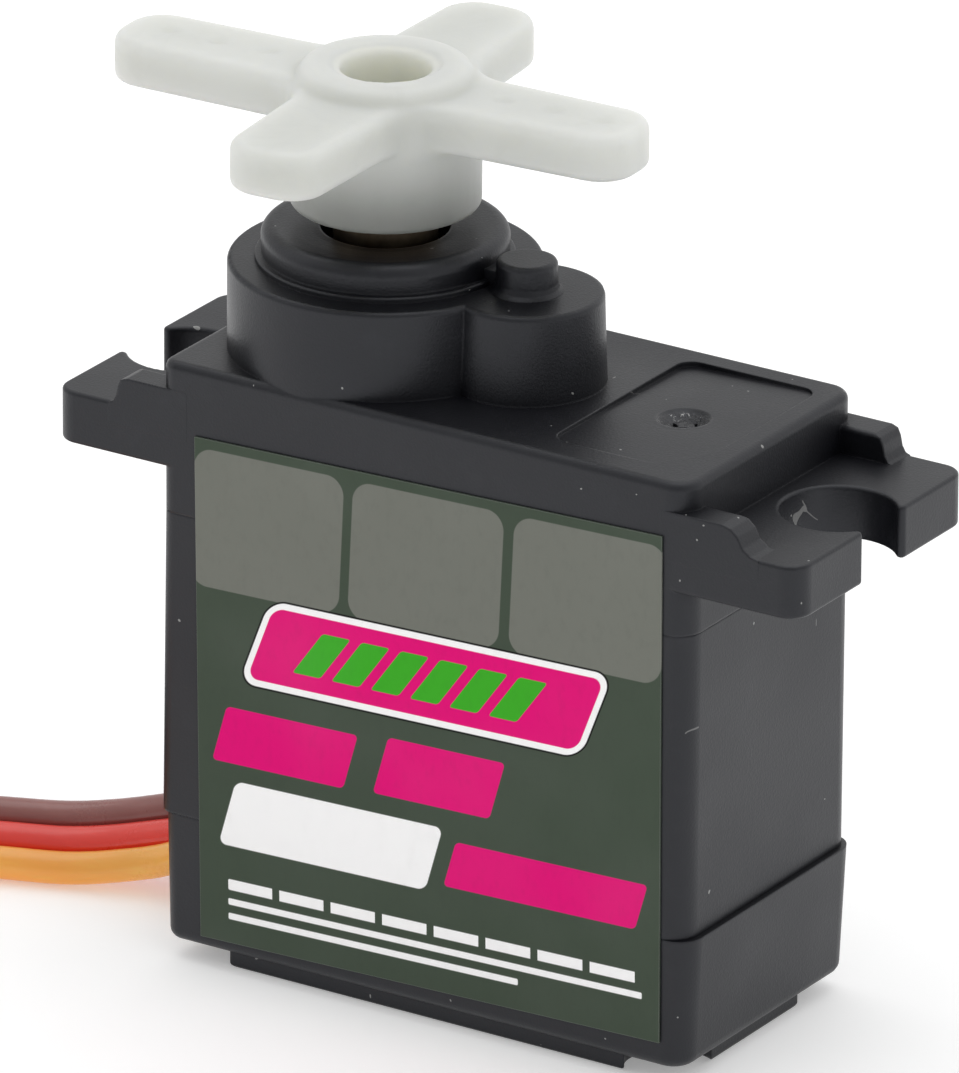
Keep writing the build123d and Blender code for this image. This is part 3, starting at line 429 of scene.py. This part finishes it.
def wire_look(name, base, deep):
    """Extruded PVC: faint flow lines, pale dots, a soft gloss."""
    dot_colour, dot_strength = (0.7, 0.68, 0.64), 0.5
    fine_rough, flow_height, fine_height = 0.06, 0.6, 0.15
    m = Look(name)
    slow = m.noise(scale=160, detail=2)
    flow = m.noise(scale=1400, rough=0.6, vec=m.stretch(0.25, 0.25, 1.6))
    fine = m.noise(scale=7000, detail=2)
    col = m.mix(m.band(slow, lo=0.3, hi=0.75), base, deep)
    col = m.mix(m.band(flow, lo=0.5, hi=0.85, amount=0.35), col,
                scaled(base, gain=1.35, lift=0.01))
    dots = m.specks(scale=900, size=0.06, above=0.93)
    col = m.mix(m.mul(dots, dot_strength), col, dot_colour)
    r = m.add(m.lerp(m.band(slow, lo=0.35, hi=0.7), start=0.22, end=0.36),
              m.mul(fine, fine_rough))
    height = m.add(m.mul(flow, flow_height), m.mul(fine, fine_height))
    return m.finish(Base_Color=col, Roughness=r,
                    Normal=m.bump(height, strength=0.18, dist=0.00005),
                    Coat_Weight=0.35, Coat_Roughness=0.12, Subsurface_Weight=0.10,
                    Subsurface_Scale=0.0004, Subsurface_Radius=(1.0, 0.4, 0.2))


def nylon_look():
    """Off-white horn nylon: milky and slightly translucent, faint clouds, a few scuffs, painted
    shade on the hub and painted light in the centre well.
    """
    low, high, cloudy = (0.592, 0.605, 0.583), (0.642, 0.654, 0.633), (0.525, 0.535, 0.512)
    painted_hub_shade, painted_well_light, scuffed = (0.34, 0.345, 0.333), (0.715, 0.725, 0.675), (0.74, 0.74, 0.73)
    fine_rough, cloud_height, fine_height = 0.10, 0.5, 0.35
    m = Look("horn_nylon_look")
    slow = m.noise(scale=90, detail=2)
    cloud = m.noise(scale=420, detail=4, rough=0.6, distort=0.6)
    fine = m.noise(scale=8000, detail=2)
    col = m.mix(m.band(slow, lo=0.3, hi=0.72), low, high)
    col = m.mix(m.band(cloud, lo=0.52, hi=0.80, amount=0.28), col, cloudy)

    # painted shade: darker low down and near the axis, where the arms shade the hub; paler again
    # in the upper part of the centre
    axis = m.radius(OUTPUT_X)
    lit = m.band(m.xyz()[2], lo=0.0078, hi=0.0114)
    centre = m.band(axis, lo=0.0027, hi=0.0022)
    lit = m.math("MAXIMUM", lit, centre)
    col = m.mix(lit, m.mix(1.0, col, painted_hub_shade, "MULTIPLY"), col)
    # painted light: the centre well is made paler and yellower than the rest of the horn, against
    # the shade in the recess
    well = m.mul(m.band(axis, lo=0.0021, hi=0.0018), m.band(m.xyz()[2], lo=0.0098, hi=0.0104))
    col = m.mix(well, col, painted_well_light)
    scuff = m.noise(scale=1600, detail=4, rough=0.7, vec=m.stretch(0.15, 1.4, 1.0))
    col = m.mix(m.band(scuff, lo=0.70, hi=0.80, amount=0.20), col, scuffed)
    r = m.add(m.lerp(m.band(cloud, lo=0.3, hi=0.7), start=0.34, end=0.48),
              m.mul(fine, fine_rough))
    height = m.add(m.mul(cloud, cloud_height), m.mul(fine, fine_height))
    return m.finish(Base_Color=col, Roughness=r,
                    Normal=m.bump(height, strength=0.16, dist=0.00006,
                                  normal=m.bevel(0.00030)),
                    Subsurface_Weight=1.0, Subsurface_Scale=0.0030,
                    Subsurface_Radius=(1.0, 0.97, 0.86), IOR=1.53)


# Printed bars of the label, in mm on its X-Z plane. Columns: centre x, centre z,
# half width, half height, corner radius, lean (x per z).
BLOCKS = [(x, -3.45, 3.35, 2.80, 0.80, 0.06) for x in (-6.75, 0.35, 7.50)]
BADGE = (0.25, -8.05, 7.35, 1.55, 0.50, 0.40)
BADGE_BARS = [(-4.35 + 1.75 * k, -8.05, 0.62, 0.92, 0.12, 0.75) for k in range(6)]
LOWER_BARS = [
    ((-6.05, -12.10, 2.95, 1.15, 0.20, 0.30), "E6007E"),
    ((0.85, -11.95, 2.60, 1.20, 0.20, 0.30), "E6007E"),
    ((-4.05, -15.30, 4.65, 1.35, 0.35, 0.30), "FFFFFF"),
    ((5.55, -15.35, 4.25, 0.95, 0.20, 0.30), "E6007E"),
]
DASHED_STRIPE = (0.55, -18.25, 9.25, 0.22, 0.08, 0.0)
DASH_START, DASH_PITCH, DASH_SHARE = -8.70, 2.3150, 0.86
PLAIN_STRIPES = [(0.55, -18.95, 9.25, 0.13, 0.06, 0.0), (-2.20, -19.55, 6.50, 0.13, 0.06, 0.0)]
PRINT_SOFT = 0.025            # half width of a printed edge


def label_look():
    """Printed film: a plain block design with no lettering."""
    m = Look("front_label_look")
    x, _, z = m.xyz()
    x, z = m.mul(x, 1000.0), m.mul(z, 1000.0)
    # the film sits slightly askew: slopes of the two axes, and the height it turns about
    rise, lean_over, pivot_depth = 0.029, 0.015, 10.5
    z = m.sub(z, m.mul(x, rise))
    x = m.add(x, m.mul(m.add(z, pivot_depth), lean_over))

    def outline(centre_x, centre_z, half_x, half_z, corner, lean):
        """Distance outside a rounded slanted bar, negative inside."""
        slanted = m.sub(m.sub(x, centre_x), m.mul(m.sub(z, centre_z), lean))
        over_x = m.sub(m.math("ABSOLUTE", slanted), half_x - corner)
        over_z = m.sub(m.math("ABSOLUTE", m.sub(z, centre_z)), half_z - corner)
        out_x = m.math("MAXIMUM", over_x, 0.0)
        out_z = m.math("MAXIMUM", over_z, 0.0)
        outer = m.math("SQRT", m.add(m.mul(out_x, out_x), m.mul(out_z, out_z)))
        inner = m.math("MINIMUM", m.math("MAXIMUM", over_x, over_z), 0.0)
        return m.sub(m.add(outer, inner), corner)

    def inside(distance, grow=0.0):
        return m.band(distance, lo=PRINT_SOFT + grow, hi=-PRINT_SOFT + grow)

    col = ink("515A50")
    for block in BLOCKS:
        col = m.mix(inside(outline(*block)), col, ink("7B7D76"))
    badge = outline(*BADGE)
    for grow, colour in ((0.34, "2A2E2A"), (0.26, "FFFFFF"), (0.0, "E6007E")):
        col = m.mix(inside(badge, grow), col, ink(colour))
    for bar, colour in [(bar, "4CAF3C") for bar in BADGE_BARS] + LOWER_BARS:
        col = m.mix(inside(outline(*bar)), col, ink(colour))
    along = m.math("DIVIDE", m.sub(x, DASH_START), DASH_PITCH)
    dash = m.less(m.math("FRACT", along), DASH_SHARE)
    stripe = m.mul(inside(outline(*DASHED_STRIPE)), dash)
    for row in PLAIN_STRIPES:
        stripe = m.math("MAXIMUM", stripe, inside(outline(*row)))
    col = m.mix(stripe, col, ink("FFFFFF"))

    # faint fibres, haze and a pale cut edge
    fibre_colour, haze, rim_colour = (0.02, 0.02, 0.02), (0.9, 0.9, 0.9), (0.75, 0.76, 0.74)
    rim_strength, fibre_height, dot_height = 0.12, 0.6, 0.25
    slow = m.noise(scale=140, detail=2)
    fibre = m.noise(scale=2600, rough=0.6, vec=m.stretch(1.0, 1.0, 0.6))
    dot = m.noise(scale=11000, detail=1)
    col = m.mix(m.band(fibre, lo=0.45, hi=0.8, amount=0.07), col, fibre_colour)
    col = m.mix(m.band(slow, lo=0.4, hi=0.8, amount=0.02), col, haze)
    col = m.mix(m.mul(m.edge(0.00006), rim_strength), col, rim_colour)
    height = m.add(m.mul(fibre, fibre_height), m.mul(dot, dot_height))
    return m.finish(Base_Color=col, Roughness=m.lerp(slow, start=0.40, end=0.52),
                    Normal=m.bump(height, strength=0.08, dist=0.00003,
                                  normal=m.bevel(0.00004)),
                    Specular_IOR_Level=0.10)


LOOKS = {
    "top_case": case_mat, "middle_case": case_mat, "bottom_cover": case_mat,
    "case_screws": steel_black, "front_label": label_look(),
    "output_horn": nylon_look(), "horn_screw": steel_bright, "output_gear": dark_output_gear,
    "first_gear": brass_gear, "second_gear": brass_gear, "third_gear": steel_gear,
    "gear_pin": steel_ground, "lower_bushing": bronze,
    "bearing_outer_race": steel_race, "bearing_inner_race": dark_inner_race,
    "bearing_balls": steel_race, "bearing_cage": brass_gear,
    "motor_can": steel_can, "motor_front_bushing": bronze, "motor_rear_bushing": bronze,
    "motor_magnets": magnet_mat, "motor_end_cap": cap_mat, "motor_brushes": carbon_mat,
    "motor_terminals": gold, "motor_shaft": steel_ground, "motor_pinion": brass_gear,
    "armature_core": steel_core, "armature_windings": winding_look(),
    "commutator": commutator_look(),
    "sensor_body": sensor_mat, "sensor_base": sensor_mat, "sensor_track": track_look(),
    "sensor_shaft": shaft_nylon_mat, "sensor_wiper": gold, "sensor_terminals": gold,
    "sensor_wires": inner_wire_mat,
    "circuit_board": board_look(), "controller_chip": chip_mat,
    "drive_transistors": chip_mat, "board_passives": ceramic_mat,
    "cable_wire_brown": wire_look("wire_brown_look", base=(0.300, 0.112, 0.098),
                                  deep=(0.245, 0.085, 0.072)),
    "cable_wire_red": wire_look("wire_red_look", base=(0.90, 0.060, 0.042),
                                deep=(0.78, 0.040, 0.028)),
    "cable_wire_orange": wire_look("wire_orange_look", base=(1.0, 0.48, 0.085),
                                   deep=(0.98, 0.40, 0.060)),
    "plug_housing": plug_mat, "plug_contacts": gold,
}
for name, piece in nodes.items():
    if piece.data.materials:
        for slot in piece.material_slots:
            slot.link = "OBJECT"
            slot.material = LOOKS[name]
    else:
        piece.data.materials.append(LOOKS[name])


# --------------------------------------------------------------------------
# horn: moulded copy of the CAD horn with flowing fillets
# --------------------------------------------------------------------------
HORN_VOXEL = 0.00009
SMOOTH_PASSES = 6
WELL_RADIUS = 0.0021                  # the centre inside this isn't grown
GROW = 0.00005                        # outward, along the normal
TOP_FROM, TOP_SPAN, TOP_LIFT = 0.0120, 0.0008, 0.00010
TIP_Y, TIP_SCALE = -0.0070, 0.93      # the front tip beyond this y is drawn in


def full_outline(co, normal):
    """Gives back what the smoothing took, lifts the top face and draws in the front tip."""
    in_well = math.hypot(co.x - OUTPUT_X, co.y) < WELL_RADIUS
    out = co.copy() if in_well else co + normal * GROW
    t = min(1.0, max(0.0, (co.z - TOP_FROM) / TOP_SPAN))
    out.z += TOP_LIFT * t * t * (3 - 2 * t)
    if out.y < TIP_Y:
        out.y = TIP_Y + (out.y - TIP_Y) * TIP_SCALE
    return out


def moulded_horn():
    source = nodes["output_horn"]
    horn = bpy.data.objects.new("output_horn_moulded", source.data.copy())
    scene.collection.objects.link(horn)
    remesh = horn.modifiers.new("remesh", "REMESH")
    remesh.mode = "VOXEL"
    remesh.voxel_size = HORN_VOXEL
    remesh.adaptivity = 0.0
    smooth = horn.modifiers.new("smooth", "SMOOTH")
    smooth.factor = 0.5
    smooth.iterations = SMOOTH_PASSES
    depsgraph = bpy.context.evaluated_depsgraph_get()
    mesh = bpy.data.meshes.new_from_object(horn.evaluated_get(depsgraph))
    horn.modifiers.clear()
    horn.data = mesh
    for face in mesh.polygons:
        face.use_smooth = True
    normals = [v.normal.copy() for v in mesh.vertices]
    for v, normal in zip(mesh.vertices, normals):
        v.co = full_outline(v.co, normal)
    mesh.update()
    mesh.materials.clear()
    mesh.materials.append(LOOKS["output_horn"])
    return horn


horn = moulded_horn()
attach(horn, "output")
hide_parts("output_horn")


# --------------------------------------------------------------------------
# floor, light, camera
# --------------------------------------------------------------------------
def floor_look():
    low, high = (0.86, 0.86, 0.86), (0.885, 0.885, 0.885)
    m = Look("floor_look")
    col = m.mix(m.band(m.noise(scale=40), lo=0.3, hi=0.7), low, high)
    return m.finish(Base_Color=col, Roughness=0.75, Specular_IOR_Level=0.1,
                    Normal=m.bump(m.noise(scale=1500, detail=2), strength=0.03, dist=0.0001),
                    Emission_Color=(1, 1, 1), Emission_Strength=0.27)


def build_floor():
    bm = bmesh.new()
    bmesh.ops.create_grid(bm, x_segments=8, y_segments=8, size=FLOOR_HALF)
    mesh = bpy.data.meshes.new("floor")
    bm.to_mesh(mesh)
    bm.free()
    floor = bpy.data.objects.new("floor", mesh)
    scene.collection.objects.link(floor)
    floor.location = (0, 0, cad_lo.z - FLOOR_GAP)
    mesh.materials.append(floor_look())


def build_world():
    """White studio, dimmer at the front right and at the left, brighter overhead."""
    world = bpy.data.worlds.new("studio")
    scene.world = world
    world.use_nodes = True
    background = world.node_tree.nodes["Background"]
    background.inputs[0].default_value = (1, 1, 1, 1)
    w = Nodes(world.node_tree, "Generated")

    def toward(axis, lo, hi, ends):
        """Brightness between the two ends along one direction of the studio."""
        return w.band(w.vmath("DOT_PRODUCT", w.co, axis), lo, hi, ends=ends)

    front = toward((0.538, -0.843, 0.0), lo=-0.2, hi=0.95, ends=(1.0, 0.50))
    side = toward((-0.98, 0.0, 0.2), lo=-0.2, hi=1.0, ends=(1.0, 0.74))
    sky = toward((0, 0, 1), lo=0.0, hi=0.5, ends=(0.82, 1.08))
    gradient = w.mul(w.mul(front, side), sky)
    # seen directly the backdrop is plain pale; the gradient is for light and reflections
    seen = w.node("LightPath").outputs["Is Camera Ray"]
    w.put(background.inputs[1], w.lerp(seen, gradient, end=0.96))


def area(name, loc, size, power, target=(0, 0, 0)):
    data = bpy.data.lights.new(name, "AREA")
    data.shape = "RECTANGLE"
    data.size, data.size_y = size
    data.energy = power
    light = bpy.data.objects.new(name, data)
    scene.collection.objects.link(light)
    light.location = loc
    aim = Vector(target) - Vector(loc)
    light.rotation_euler = aim.to_track_quat("-Z", "Y").to_euler()


def build_camera():
    """Long lens from the front right (-Y, +X), a little above."""
    azimuth, elevation, roll = (math.radians(a) for a in (32.532, 22.321, 0.2955))
    distance = 0.679134
    target = Vector((-0.0012229, 0.0, -0.0046743))
    back = Vector((math.sin(azimuth) * math.cos(elevation),
                   -math.cos(azimuth) * math.cos(elevation),
                   math.sin(elevation)))
    right = (-back).cross(Vector((0, 0, 1))).normalized()
    up = right.cross(-back)
    rolled_right = right * math.cos(roll) + up * math.sin(roll)
    rolled_up = -right * math.sin(roll) + up * math.cos(roll)
    data = bpy.data.cameras.new("photo_camera")
    camera = bpy.data.objects.new("photo_camera", data)
    scene.collection.objects.link(camera)
    turn = Matrix((rolled_right, rolled_up, back)).transposed().to_4x4()
    camera.matrix_world = Matrix.Translation(target + back * distance) @ turn
    data.sensor_width = 36.0
    data.lens = 604.965405
    data.shift_x = -0.000546132
    data.shift_y = -0.000304753
    data.clip_start, data.clip_end = 0.01, 20.0
    scene.camera = camera


build_floor()
build_world()
area("overhead", loc=(-0.05, 0.05, 0.42), size=(0.40, 0.40), power=0.45)
area("left_fill", loc=(-0.36, -0.16, 0.20), size=(0.22, 0.30), power=0.06)
area("right_fill", loc=(0.34, -0.10, 0.12), size=(0.20, 0.30), power=0.04,
     target=(0, 0, -0.005))
build_camera()

scene.view_settings.view_transform = "Standard"
scene.view_settings.look = "None"
scene.view_settings.exposure = 0.0
